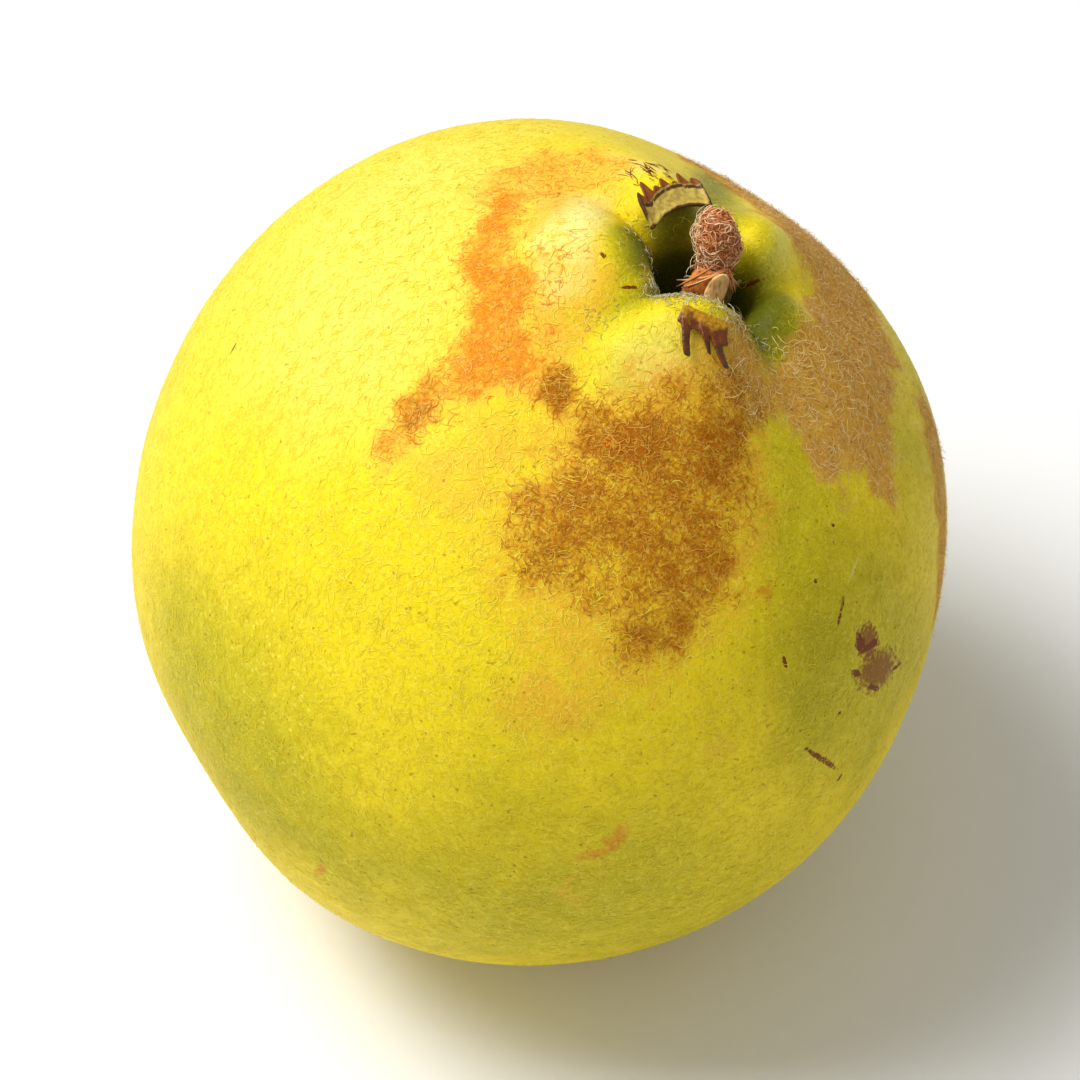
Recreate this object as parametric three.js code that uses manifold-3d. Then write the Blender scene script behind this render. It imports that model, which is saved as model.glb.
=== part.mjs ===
// A ripe quince as picked, resting on a small flat spot beside its stem end.
// Millimetres and degrees, +Z up. The fruit's own frame has its axis along +Z,
// from the stem end to the calyx, with its origin in the middle of the flesh.
// That frame leans over towards +X, and the part's origin is under its middle.
import * as THREE from "three";
import { mergeVertices } from "three/addons/utils/BufferGeometryUtils.js";
import Module from "manifold-3d";

const wasm = await Module();
wasm.setup();

// ---- Driving dimensions -------------------------------------------------

const BODY_RADIUS = 46; // half the greatest width of the flesh
const LEAN = 21; // how far the axis leans over towards +X
const TABLE_DEPTH = 45.35; // from the middle of the flesh down to the table
const GAP = 0.4; // room left between two pieces that touch
const AROUND = 75; // steps round the fruit
const ALONG = 50; // steps from the stem end to the calyx

// The skin's outline from the stem cavity to the bottom of the calyx basin, as
// distances from the axis and along it, in body radii. It is drawn twice: down
// the crease between two calyx lobes, and over the crest of a lobe.
const FLANK = [
  [0, -0.87],
  [0.075, -0.885],
  [0.15, -0.935],
  [0.26, -0.972],
  [0.42, -0.93],
  [0.6, -0.825],
  [0.78, -0.655],
  [0.91, -0.44],
  [0.985, -0.2],
  [1, 0.04],
  [0.965, 0.28],
  [0.875, 0.51],
  [0.75, 0.69],
];
const CREASE = [
  ...FLANK,
  [0.6, 0.8],
  [0.46, 0.88],
  [0.34, 0.935],
  [0.24, 0.965],
  [0.17, 0.955],
  [0.13, 0.9],
  [0.108, 0.81],
  [0.06, 0.757],
  [0, 0.75],
];
const CREST = [
  ...FLANK,
  [0.6, 0.815],
  [0.46, 0.91],
  [0.36, 0.98],
  [0.265, 1.035],
  [0.17, 1.03],
  [0.13, 0.95],
  [0.11, 0.86],
  [0.06, 0.765],
  [0, 0.75],
];

// The five calyx lobes, each by the bearing of the crease that it starts from
// and how far it swells from the crease outline towards the crest outline.
const LOBES = [
  { starts: 77, swell: 0.95 },
  { starts: 140, swell: 1.12 },
  { starts: 225, swell: 1.15 },
  { starts: 318, swell: 0.6 },
  { starts: 12, swell: 0.9 },
];
// How full the lobes are: under 1 they are broad and the creases narrow. They
// start as soft ribs low on the shoulder and are fullest at the basin.
const RIB = { along: 0.6, fullness: 1.3 };
const LOBE = { along: 0.8, fullness: 0.5 };

// The basin lies a little to one side of the axis, and its wall starts to move
// over where the outlines pass the crests.
const BASIN = { offset: 1.7, starts: 0.75, full: 0.86 };

// The flesh is a little wider one way than the other.
const WIDE_BEARING = 105;
const WIDENING = 0.016;

// Soft swellings and dents, each centred at an angle from the calyx axis and a
// bearing round it, with its height in body radii and its reach in degrees.
const SWELLINGS = [
  { tilt: 140, bearing: 248, height: 0.016, reach: 30 },
  { tilt: 131, bearing: 214, height: -0.034, reach: 15 },
  { tilt: 50, bearing: 62, height: -0.026, reach: 28 },
  { tilt: 62, bearing: 285, height: 0.016, reach: 22 },
  { tilt: 76, bearing: 345, height: -0.018, reach: 24 },
  { tilt: 96, bearing: 20, height: 0.006, reach: 24 },
  { tilt: 72, bearing: 190, height: -0.024, reach: 28 },
  { tilt: 100, bearing: 120, height: 0.015, reach: 30 },
  { tilt: 58, bearing: 70, height: -0.012, reach: 20 },
  { tilt: 9, bearing: 180, height: -0.02, reach: 8 },
  { tilt: 9, bearing: 232, height: 0.045, reach: 6 },
  { tilt: 8, bearing: 268, height: 0.03, reach: 6 },
];

// ---- Shape of the skin --------------------------------------------------

const { degToRad, radToDeg, lerp, smoothstep } = THREE.MathUtils;
const splineOf = (outline) =>
  new THREE.SplineCurve(outline.map(([out, up]) => new THREE.Vector2(out, up)));
const creaseLine = splineOf(CREASE);
const crestLine = splineOf(CREST);

// 0 in a crease and up to a lobe's own swell on its crest.
function lobeShare(along, bearing) {
  const turns = LOBES.map(({ starts, swell }, i) => {
    const next = LOBES[(i + 1) % LOBES.length];
    const width = (next.starts - starts + 360) % 360;
    const across = ((bearing - starts + 720) % 360) / width;
    return { swell, across };
  });
  const { swell, across } = turns.find((turn) => turn.across < 1);
  const rounded = Math.sin(Math.PI * across) ** 2;
  const ripe = smoothstep(along, RIB.along, LOBE.along);
  return swell * rounded ** lerp(RIB.fullness, LOBE.fullness, ripe);
}

function directionOf(tilt, bearing) {
  return new THREE.Vector3().setFromSphericalCoords(
    1,
    degToRad(tilt),
    degToRad(bearing),
  );
}

// setFromSphericalCoords has its pole on +Y, so directions are compared there.
function swellingAt(tilt, bearing) {
  const here = directionOf(tilt, bearing);
  return SWELLINGS.reduce((sum, s) => {
    const apart = radToDeg(here.angleTo(directionOf(s.tilt, s.bearing)));
    return sum + s.height * Math.exp(-((apart / s.reach) ** 2));
  }, 0);
}

// The table's level in the fruit's own frame: a unit vector straight down.
const DOWN = new THREE.Vector3(0, 0, -1).applyAxisAngle(
  new THREE.Vector3(0, 1, 0),
  -degToRad(LEAN),
);

// A point pressed flat where the fruit stands on the table.
function pressedFlat(point) {
  const below = point.dot(DOWN) - TABLE_DEPTH;
  return below > 0 ? point.addScaledVector(DOWN, -below) : point;
}

// The skin's point at a share of the way along the outline and a bearing. What
// bridges the creases instead of following them brings a lobe share of its own.
function skinPoint(along, bearing, share = lobeShare(along, bearing)) {
  const outline = creaseLine.getPoint(along).lerp(crestLine.getPoint(along), share);
  const tilt = radToDeg(Math.atan2(outline.x, outline.y));
  const wide = Math.cos(2 * degToRad(bearing - WIDE_BEARING));
  const girth =
    1 + WIDENING * wide * Math.sin(degToRad(tilt)) ** 2 + swellingAt(tilt, bearing);
  const turn = degToRad(bearing);
  const point = new THREE.Vector3(
    outline.x * Math.cos(turn),
    outline.x * Math.sin(turn),
    outline.y,
  ).multiplyScalar(BODY_RADIUS * girth);
  point.x += BASIN.offset * smoothstep(along, BASIN.starts, BASIN.full);
  return pressedFlat(point);
}

// The direction straight out of the skin at such a point.
function skinNormal(along, bearing, share) {
  const north = skinPoint(along + 0.002, bearing, share);
  const south = skinPoint(along - 0.002, bearing, share);
  const east = skinPoint(along, bearing + 1, share);
  const west = skinPoint(along, bearing - 1, share);
  return east.sub(west).cross(north.sub(south)).normalize();
}

// A point at a height above the skin, or above a lobe's crest carried sideways.
function aboveSkin(along, bearing, height, share) {
  const normal = skinNormal(along, bearing, share);
  return skinPoint(along, bearing, share).addScaledVector(normal, height);
}

// ---- Helpers ------------------------------------------------------------

// Moves every vertex of a geometry to where a function of it says.
function reshape(geometry, place) {
  const position = geometry.getAttribute("position");
  const vertex = new THREE.Vector3();
  for (let i = 0; i < position.count; i++) {
    vertex.fromBufferAttribute(position, i);
    const moved = place(vertex, i);
    position.setXYZ(i, moved.x, moved.y, moved.z);
  }
  position.needsUpdate = true;
  geometry.computeVertexNormals();
  return geometry;
}

function toSolid(geometry) {
  const bare = new THREE.BufferGeometry();
  bare.setAttribute("position", geometry.getAttribute("position"));
  bare.setIndex(geometry.index);
  const merged = mergeVertices(bare, 1e-4);
  return new wasm.Manifold(
    new wasm.Mesh({
      numProp: 3,
      vertProperties: new Float32Array(merged.getAttribute("position").array),
      triVerts: new Uint32Array(merged.index.array),
    }),
  );
}

function toGeometry(solid) {
  const made = solid.getMesh();
  const geometry = new THREE.BufferGeometry();
  geometry.setAttribute(
    "position",
    new THREE.BufferAttribute(made.vertProperties, made.numProp),
  );
  geometry.setIndex(new THREE.BufferAttribute(made.triVerts, 1));
  geometry.computeVertexNormals();
  return geometry;
}

const joined = (geometries) =>
  toGeometry(geometries.map(toSolid).reduce((all, one) => all.add(one)));

function finish(name, geometry, material) {
  const mesh = new THREE.Mesh(geometry, material);
  mesh.name = name;
  return mesh;
}

// ---- Materials ----------------------------------------------------------

const SKIN = new THREE.MeshStandardMaterial({
  color: 0xe6cf2c,
  roughness: 0.55,
  metalness: 0,
});
const DRIED_FLOWER = new THREE.MeshStandardMaterial({
  color: 0x9c5f33,
  roughness: 0.9,
  metalness: 0,
});
const PAPERY_SCALE = new THREE.MeshStandardMaterial({
  color: 0xcd9454,
  roughness: 0.7,
  metalness: 0,
});
const DRIED_SEPAL = new THREE.MeshStandardMaterial({
  color: 0x5d330f,
  roughness: 0.75,
  metalness: 0,
});
const WOOD = new THREE.MeshStandardMaterial({
  color: 0x6b5233,
  roughness: 0.85,
  metalness: 0,
});

// ---- Pieces -------------------------------------------------------------

// The flesh and skin, one solid: a lathe whose rings are set on the skin.
function fruit() {
  const rings = Array.from({ length: ALONG + 1 }, (_, ring) =>
    creaseLine.getPoint(ring / ALONG),
  );
  const geometry = new THREE.LatheGeometry(rings, AROUND);
  geometry.rotateX(Math.PI / 2);
  reshape(geometry, (_, i) => {
    const ring = i % (ALONG + 1);
    const column = Math.floor(i / (ALONG + 1)) % AROUND;
    return skinPoint(ring / ALONG, (360 * column) / AROUND);
  });
  return finish("fruit", geometry, SKIN);
}

// The withered stamens and styles: a lumpy head on a narrower neck, which
// stands bent in the calyx basin, close to its right-hand wall.
const TUFT = {
  line: new THREE.CatmullRomCurve3([
    new THREE.Vector3(2, 0.3, 35.3),
    new THREE.Vector3(2.9, 2.1, 43.5),
    new THREE.Vector3(0.4, 2.6, 52),
  ]),
  neckRadius: 1.8,
  headRadius: 3,
  headStarts: 0.64, // where the neck widens, as shares of the tuft's height
  headFull: 0.75,
  lumps: 0.1, // how far the lumps stand up, as a share of the radius
};

// How wide the tuft is at a share of its height, before its lumps.
function tuftRadius(height) {
  const head = smoothstep(height, TUFT.headStarts, TUFT.headFull);
  return lerp(TUFT.neckRadius, TUFT.headRadius, head);
}

function driedStamens() {
  const geometry = new THREE.SphereGeometry(1, 20, 16);
  reshape(geometry, (v) => {
    const height = (v.y + 1) / 2;
    const lump = Math.sin(7 * v.x + 2 * v.z) * Math.sin(8 * v.y) * Math.cos(6 * v.z);
    const girth = tuftRadius(height) * (1 + TUFT.lumps * lump);
    const squarer = Math.max(0.1, Math.hypot(v.x, v.z)) ** -0.3;
    const middle = TUFT.line.getPoint(height);
    middle.x += v.x * squarer * girth;
    middle.y -= v.z * squarer * girth;
    return middle;
  });
  return finish("dried_stamens", geometry, DRIED_FLOWER);
}

// Papery scales left by the flower, cupped round the front of the tuft's neck.
// Each stands at a bearing from the neck and at a share of the tuft's height,
// its cup that far outside the neck, with its foot leaning out.
const SCALES = [
  {
    name: "flower_scale_left",
    bearing: 240,
    at: 0.5,
    width: 3.8,
    height: 5.6,
    out: 0.95,
    lean: 0.5,
  },
  {
    name: "flower_scale_middle",
    bearing: 272,
    at: 0.6,
    width: 2.3,
    height: 4.4,
    out: 1.9,
    lean: 0.6,
  },
  {
    name: "flower_scale_right",
    bearing: 318,
    at: 0.48,
    width: 2.8,
    height: 5.4,
    out: 0.85,
    lean: 0.1,
  },
];
const SCALE_THICKNESS = 0.4;
const SCALE_FLARE = 0.3; // how far its foot and tip stand away from its middle

function flowerScale({ name, bearing, at, width, height, out, lean }) {
  const geometry = new THREE.BoxGeometry(width, SCALE_THICKNESS, height, 6, 1, 8);
  const cupRadius = TUFT.neckRadius + out;
  reshape(geometry, (v) => {
    const up = v.z / (height / 2);
    const taper = Math.sqrt(Math.max(0.05, 1 - Math.abs(up) ** 2.4));
    const turn = (v.x * taper) / cupRadius;
    const reach = cupRadius - v.y + SCALE_FLARE * up * up - lean * up;
    return new THREE.Vector3(reach * Math.sin(turn), -reach * Math.cos(turn), v.z);
  });
  geometry.rotateZ(degToRad(bearing - 270));
  const mesh = finish(name, geometry, PAPERY_SCALE);
  mesh.position.copy(TUFT.line.getPoint(at));
  return mesh;
}

// A strip lying on a lobe. It runs from one point of the outline to another
// along a bearing, and may swing sideways, narrow, curl up and twist up on its
// far side towards its end.
function stripOnLobe({
  from,
  to,
  bearing,
  width,
  tipWidth = width,
  thickness,
  swing = 0,
  curl = 0,
  twist = 0,
  lobeMiddle = bearing,
}) {
  const geometry = new THREE.BoxGeometry(1, 1, 1, 2, 6, 1);
  const side = Math.sign(to - from);
  return reshape(geometry, (v) => {
    const run = v.y + 0.5;
    const along = from + (to - from) * run;
    const middle = bearing + swing * run;
    const turn = lerp(width, tipWidth, run) * turnPerMillimetre(along, middle);
    const here = middle + side * v.x * turn;
    const raised = curl * run ** 2 + twist * run * (v.x + 0.5);
    const lift = GAP + raised + (v.z + 0.5) * thickness;
    return aboveSkin(along, here, lift, lobeShare(along, lobeMiddle));
  });
}

// How far round the axis a millimetre on the skin reaches, in degrees.
function turnPerMillimetre(along, bearing) {
  const point = skinPoint(along, bearing);
  return radToDeg(1 / Math.hypot(point.x, point.y));
}

// A withered sepal folded back over the front lobe, split into four prongs.
const FRONT_SEPAL = {
  bearing: 264.5,
  hinge: 0.781,
  fold: 0.763,
  tips: 0.737,
  width: 5.4,
  thickness: 0.4,
};
const PRONG_INSET = 0.004; // how far a prong starts inside the band
const PRONGS = [
  { offset: -2.2, swing: 8, width: 1.1, tipWidth: 0.9, curl: 0.4, twist: 0.4, reach: 1 },
  { offset: -0.1, swing: 7, width: 1.5, tipWidth: 0.6, curl: 0.2, twist: 0.7, reach: 0.72 },
  { offset: 0.9, swing: 10, width: 1.2, tipWidth: 0.9, curl: 0.7, twist: 0.3, reach: 1.1 },
  { offset: 2.1, swing: 3, width: 1.4, tipWidth: 1, curl: 0.3, twist: 0, reach: 0.3 },
];

function frontSepal() {
  const { bearing, hinge, fold, tips, width, thickness } = FRONT_SEPAL;
  const band = stripOnLobe({ from: hinge, to: fold, bearing, width, thickness });
  const prongs = PRONGS.map(({ offset, reach, ...shape }) =>
    stripOnLobe({
      ...shape,
      from: hinge - PRONG_INSET,
      to: fold + (tips - fold) * reach,
      bearing: bearing + offset * turnPerMillimetre(fold, bearing),
      thickness,
      lobeMiddle: bearing,
    }),
  );
  return finish("front_sepal", joined([band, ...prongs]), DRIED_SEPAL);
}

// The torn sepal on the back lobe: a thin plate with a raised dry rim down
// each side and along its foot, and ragged teeth where it tore off.
const BACK_SEPAL = {
  bearing: 117,
  foot: 0.808,
  tear: 0.784,
  slant: 0.011, // how much nearer the basin one end lies than the other
  width: 8.8,
  depth: 4.2, // from its foot to where it tore
  thickness: 0.35,
  lift: 0.55, // how far it stands above the crest
  curl: 0.3,
};
const RIM = { width: 0.7, height: 0.45 };
const TEETH = [0.6, 1, 0.35, 0.7, 0.3, 0.9, 0.5]; // the length of each, as shares
const TOOTH = 0.02; // the longest tooth, as a share of the skin's outline

// How far the torn edge reaches at a share of the way across, from 0 to 1.
function toothAt(across) {
  const place = across * TEETH.length;
  const tooth = Math.min(Math.floor(place), TEETH.length - 1);
  return TEETH[tooth] * (1 - Math.abs(2 * (place - tooth) - 1));
}

function backSepal() {
  const { bearing, foot, tear, slant, width, depth, thickness } = BACK_SEPAL;
  const geometry = new THREE.BoxGeometry(1, 1, 1, 4 * TEETH.length, 8, 1);
  reshape(geometry, (v) => {
    const run = v.y + 0.5;
    const edge = tear - TOOTH * toothAt(v.x + 0.5);
    const along = lerp(foot, edge, run) - slant * v.x;
    const here = bearing - v.x * width * turnPerMillimetre(along, bearing);
    const fromEdge = Math.min((0.5 - Math.abs(v.x)) * width, run * depth);
    const rim = RIM.height * Math.max(0, 1 - fromEdge / RIM.width);
    const raised = BACK_SEPAL.lift + BACK_SEPAL.curl * run ** 3;
    const lift = raised + (v.z + 0.5) * (thickness + rim);
    return aboveSkin(along, here, lift, lobeShare(along, bearing));
  });
  return finish("back_sepal", geometry, DRIED_SEPAL);
}

// The short woody stub left in the stem cavity, flared where it was picked.
const STUB = [
  [0, 0],
  [1.5, 0],
  [1.35, 1.2],
  [1.35, 2.6],
  [1.5, 3.6],
  [1.8, 4.3],
  [1.6, 4.8],
  [0, 5],
];

function stemStub() {
  const outline = STUB.map(([out, down]) => new THREE.Vector2(out, down));
  const geometry = new THREE.LatheGeometry(outline, 18);
  geometry.rotateX(-Math.PI / 2);
  const mesh = finish("stem_stub", geometry, WOOD);
  mesh.position.z = skinPoint(0, 0).z - GAP;
  return mesh;
}

// ---- The quince ---------------------------------------------------------

const quince = new THREE.Group();
quince.rotation.y = degToRad(LEAN);
quince.position.z = TABLE_DEPTH;
quince.add(
  fruit(),
  driedStamens(),
  ...SCALES.map(flowerScale),
  frontSepal(),
  backSepal(),
  stemStub(),
);

const part = new THREE.Group();
part.add(quince);
export default part;
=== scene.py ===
"""A ripe quince with its woolly down and dried flower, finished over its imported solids."""

import math

import bpy
import numpy as np
from bpy.props import FloatProperty, FloatVectorProperty, IntProperty, PointerProperty
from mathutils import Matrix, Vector, noise


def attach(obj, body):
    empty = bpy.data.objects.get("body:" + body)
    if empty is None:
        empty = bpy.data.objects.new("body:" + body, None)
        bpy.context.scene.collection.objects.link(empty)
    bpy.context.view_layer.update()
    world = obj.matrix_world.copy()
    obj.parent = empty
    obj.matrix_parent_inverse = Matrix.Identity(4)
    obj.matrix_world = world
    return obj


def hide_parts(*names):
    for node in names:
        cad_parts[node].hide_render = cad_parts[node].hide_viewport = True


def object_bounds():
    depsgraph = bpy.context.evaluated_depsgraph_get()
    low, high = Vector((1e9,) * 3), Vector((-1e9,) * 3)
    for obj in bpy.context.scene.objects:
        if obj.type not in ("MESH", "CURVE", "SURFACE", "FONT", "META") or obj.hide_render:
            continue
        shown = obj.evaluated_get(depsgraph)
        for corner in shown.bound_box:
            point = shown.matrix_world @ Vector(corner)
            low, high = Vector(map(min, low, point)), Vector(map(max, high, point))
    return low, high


bl_info = {
    "name": "Quince",
    "version": (1, 0, 0),
    "blender": (4, 5, 0),
    "location": "View3D > Sidebar > Quince",
    "description": "Skin, down, dried flower and studio for a ripe quince",
    "category": "Add Mesh",
}

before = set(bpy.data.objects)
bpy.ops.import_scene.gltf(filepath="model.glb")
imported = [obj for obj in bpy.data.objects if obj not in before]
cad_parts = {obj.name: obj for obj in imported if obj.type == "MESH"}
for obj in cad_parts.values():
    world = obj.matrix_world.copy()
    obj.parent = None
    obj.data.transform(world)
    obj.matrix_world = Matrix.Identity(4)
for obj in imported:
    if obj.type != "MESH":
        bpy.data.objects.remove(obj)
CAD_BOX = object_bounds()

# ---- The fruit's own frame ----
# Lengths are in metres. A place on the fruit is given by its tilt from the
# calyx end and its bearing round the axis, both in degrees as seen from the
# middle of the flesh. Bearing 0 is the side that the fruit leans to.

MM = 0.001
LEAN = math.radians(21)
CENTRE = Vector((0, 0, 45.35 * MM))
AXIS = Vector((math.sin(LEAN), 0, math.cos(LEAN)))
EAST = Vector((math.cos(LEAN), 0, -math.sin(LEAN)))
NORTH = Vector((0, 1, 0))
OWN_WAYS = np.array([EAST, NORTH, AXIS])
BACK_SEPAL = 117  # the bearing of the back sepal


def direction(tilt, bearing):
    """The way from the middle of the flesh to a place on the skin."""
    t, b = math.radians(tilt), math.radians(bearing)
    return (EAST * math.cos(b) + NORTH * math.sin(b)) * math.sin(t) + AXIS * math.cos(t)


def in_fruit(points):
    """Points of the row frame, in the fruit's own frame."""
    return (points - np.array(CENTRE)) @ OWN_WAYS.T


def out_of_fruit(points):
    """Points of the fruit's own frame, in the row frame."""
    return points @ OWN_WAYS + np.array(CENTRE)


def from_axis(local):
    """How far points in the fruit's own frame are from its axis."""
    return np.hypot(local[:, 0], local[:, 1])


def tilt_of(local):
    """The tilt in degrees of points in the fruit's own frame."""
    return np.degrees(np.arctan2(from_axis(local), local[:, 2]))


# ---- Where the colours lie ----
# Each patch is a strength, the softness of its edge in degrees, and its
# outline as (tilt, bearing) places.

FELT = {
    "gold": [
        (1.0, 9, [
            (18, 125), (13, 135), (15, 165), (13, 190), (14, 210), (17, 212), (18, 226), (24, 228),
            (30, 240), (34, 230), (32, 220), (27, 222), (23, 205), (22, 188), (23, 168), (23, 150),
        ]),
        (0.6, 14, [
            (41, 217), (34, 229), (32, 243), (41, 241), (50, 242), (54, 239), (52, 229), (52, 221),
            (44, 222),
        ]),
        (0.7, 10, [
            (26, 226), (23, 246), (20, 262), (20, 284), (26, 300), (36, 298), (48, 288), (60, 276),
            (62, 262), (56, 244), (48, 236), (38, 238), (34, 228),
        ]),
        (0.9, 8, [
            (33, 150), (32, 130), (28, 114), (21, 112), (17, 122), (19, 142), (21, 160), (32, 160),
        ]),
        (0.6, 10, [(52, 248), (58, 252), (70, 254), (72, 264), (62, 270), (56, 262)]),
        (1.0, 6, [(66, 254), (62, 255), (59, 259), (61, 264), (65, 266), (68, 258)]),
        (0.7, 5, [(64, 288), (66, 291), (70, 287), (67, 284)]),
        (0.8, 5, [(93, 273), (95, 278), (92, 279), (90, 274)]),
        (1.0, 8, [
            (14, 258), (14, 284), (18, 300), (24, 298), (28, 280), (30, 262), (28, 244), (23, 246),
            (18, 256),
        ]),
    ],
    "amber": [
        (1.0, 7, [
            (30, 151), (29, 160), (31, 170), (32, 177), (31, 190), (33, 201), (36, 206), (43, 210),
            (48, 213), (55, 216), (54, 218), (48, 220), (43, 221), (39, 218), (35, 222), (31, 229),
            (28, 225), (24, 213), (22, 196), (23, 183), (24, 168), (23, 156), (26, 148),
        ]),
        (0.62, 8, [
            (33, 156), (33, 140), (31, 126), (28, 115), (22, 110), (18, 118), (18, 136), (21, 156),
            (24, 168),
        ]),
        (0.6, 8, [
            (21, 171), (18, 187), (17, 198), (19, 206), (21, 213), (26, 228), (30, 224), (27, 206),
            (25, 186),
        ]),
        (0.55, 8, [(29, 244), (30, 254), (36, 256), (44, 251), (47, 245), (42, 241), (37, 244)]),
    ],
    "rust": [
        (0.75, 13, [
            (29, 240), (22, 248), (19, 262), (17, 272), (16, 284), (19, 299), (25, 296), (30, 291),
            (35, 294), (37, 288), (41, 283), (44, 286), (47, 281), (52, 279), (56, 274), (57, 268),
            (52, 265), (48, 263), (50, 257), (55, 248), (50, 243), (45, 241), (41, 240), (36, 244),
        ]),
        (1.0, 8, [
            (27, 241), (23, 254), (23, 262), (28, 268), (34, 263), (35, 254), (34, 247), (31, 243),
        ]),
        (0.95, 9, [
            (27, 262), (22, 273), (20, 290), (26, 294), (31, 288), (35, 291), (35, 284), (34, 276),
            (33, 268),
        ]),
        (0.85, 6, [(43, 242), (38, 245), (35, 250), (40, 254), (43, 251), (45, 245)]),
        (0.8, 7, [(39, 258), (35, 271), (39, 284), (43, 283), (45, 278), (47, 269), (44, 263)]),
        (0.85, 7, [(49, 265), (46, 279), (51, 279), (55, 276), (56, 270), (53, 266)]),
        (0.95, 5, [(27, 222), (25, 228), (27, 236), (31, 238), (33, 232), (31, 226)]),
        (0.62, 4, [(44, 211), (53, 217), (43, 221), (40, 217), (41, 210)]),
        (0.6, 2, [(45, 289), (43.5, 290), (45, 293), (46.5, 292)]),
    ],
    "tan": [
        (1.0, 4, [
            (19, 28), (19, 16), (16, 350), (16, 326), (17, 306), (16, 290), (20, 287), (21, 294),
            (21, 306), (26, 309), (33, 312), (36, 315), (34, 321), (36, 328), (41, 326), (44, 333),
            (39, 336), (37, 341), (34, 345), (35, 354), (37, 1), (37, 14), (39, 22), (45, 40), (46, 60),
            (46, 84), (37, 84), (32, 73), (26, 67), (22, 60), (17, 50), (17, 38),
        ]),
        (0.95, 8, [
            (13, 282), (17, 277), (21, 280), (25, 287), (23, 300), (20, 309), (16, 306), (13, 298),
        ]),
        (0.9, 3, [(41, 3), (46, 352), (52, 346), (63, 342), (71, 343), (62, 350), (53, 2), (46, 10)]),
        (0.7, 8, [(58, 66), (66, 58), (74, 66), (70, 78), (62, 76)]),
        (0.6, 6, [(88, 118), (92, 112), (98, 118), (93, 126)]),
    ],
}
# Green skin. The wide patches low on the fruit and the small ones round the calyx also darken it there as
# painted shade.
GREEN_AND_SHADE = [
    (0.72, 20, [
        (21, 297), (27, 307), (36, 310), (45, 330), (55, 332), (71, 339), (76, 326), (86, 319),
        (66, 297), (47, 291), (39, 286), (30, 292),
    ]),
    (0.9, 26, [(38, 346), (52, 4), (78, 350), (90, 0), (84, 30), (60, 20), (44, 0)]),
    (0.85, 30, [
        (98, 198), (84, 206), (78, 225), (87, 238), (102, 256), (118, 251), (119, 230), (113, 208),
    ]),
    (0.7, 34, [
        (103, 244), (88, 258), (78, 272), (76, 290), (84, 306), (100, 314), (124, 306), (126, 266),
    ]),
    (0.9, 7, [(11, 206), (14, 212), (17, 220), (14, 230), (10, 240), (8, 226)]),
    (0.7, 5, [(9, 236), (12, 240), (13, 254), (12, 270), (14, 284), (11, 290), (9, 262)]),
    (0.95, 9, [(12, 238), (12, 264), (17, 278), (23, 264), (25, 244), (20, 232)]),
    (1.0, 6, [
        (8, 300), (13, 312), (18, 322), (16, 338), (15, 350), (15, 10), (14, 20), (17, 40), (12, 50),
        (7, 30),
    ]),
    (1.0, 6, [(8, 100), (12, 90), (18, 84), (28, 82), (36, 80), (30, 70), (18, 60), (12, 56), (7, 76)]),
    (1.0, 4, [(6, 130), (12, 146), (13, 170), (13, 204), (12.5, 216), (8, 200)]),
    (1.0, 4, [(4, 85), (10, 88), (11.5, 108), (11.5, 130), (6, 132)]),
    (0.6, 30, [(64, 80), (84, 96), (100, 70), (90, 44), (70, 56)]),
    (0.5, 26, [(100, 150), (120, 170), (118, 140)]),
]
# Painted shade: dark green, partly the skin's own, where shade falls in the creases beside the lobes and
# on the basin walls. The faint wide patch low on the left is painted shade alone.
DEEP_GREEN_SHADE = [
    (0.95, 9, [(8, 290), (12, 297), (15, 312), (16, 330), (14, 350), (13, 6), (10, 20), (7, 340)]),
    (0.8, 5, [(8, 96), (12, 88), (17, 84), (18, 76), (11, 66), (7, 80)]),
    (0.5, 5, [(16, 70), (22, 69), (31, 72), (36, 77), (30, 83), (21, 86), (16, 84)]),
    (0.5, 4, [(7, 212), (10, 218), (13, 222), (11, 232), (8, 238)]),
    (0.75, 4, [(5, 130), (10, 142), (11, 170), (11, 205), (10, 214), (5, 200)]),
    (0.8, 4, [(3, 84), (9, 86), (12, 100), (11.5, 120), (10.5, 134), (4, 140)]),
    (0.12, 30, [(100, 186), (88, 202), (98, 226), (118, 242), (134, 220), (122, 190)]),
]
# Pale skin over the lobes, partly painted highlight where the light falls on them. The wide faint patch on
# the upper left is painted highlight alone.
PALE_AND_HIGHLIGHT = [
    (1.0, 5, [(18, 140), (14.5, 156), (14.5, 182), (16, 200), (20, 200), (22, 180), (21, 150)]),
    (0.25, 8, [(13, 244), (13, 256), (17, 264), (22, 254), (24, 242), (17, 232)]),
    (0.4, 26, [(50, 136), (39, 121), (28, 140), (30, 196), (44, 208), (58, 206), (68, 190), (68, 170)]),
    (0.7, 6, [(16, 106), (19, 124), (24, 112)]),
    (0.5, 6, [(12, 26), (15, 44), (18, 40), (15, 22)]),
]
WOOL = [
    (1.0, 2.5, [(9, 214), (10, 226), (10.5, 242), (10.5, 256), (9, 262), (7, 256), (7, 226)]),
    (0.5, 1.6, [(10.5, 242), (10.5, 270), (12.5, 292), (11, 294), (9.5, 272), (9, 244)]),
    (0.16, 3, [(10, 322), (13, 325), (15, 322), (16, 312), (13, 307), (11, 312)]),
    (0.04, 3, [(10, 130), (8, 121), (6, 100), (6, 220), (9, 212), (11, 180)]),
    (0.1, 5, [(18, 217), (14, 221), (14, 227), (20, 232), (21, 229)]),
]
BLEBS = [
    (1.0, 10, [(78, 213), (75, 226), (84, 234), (99, 238), (98, 228), (91, 213)]),
]

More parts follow.
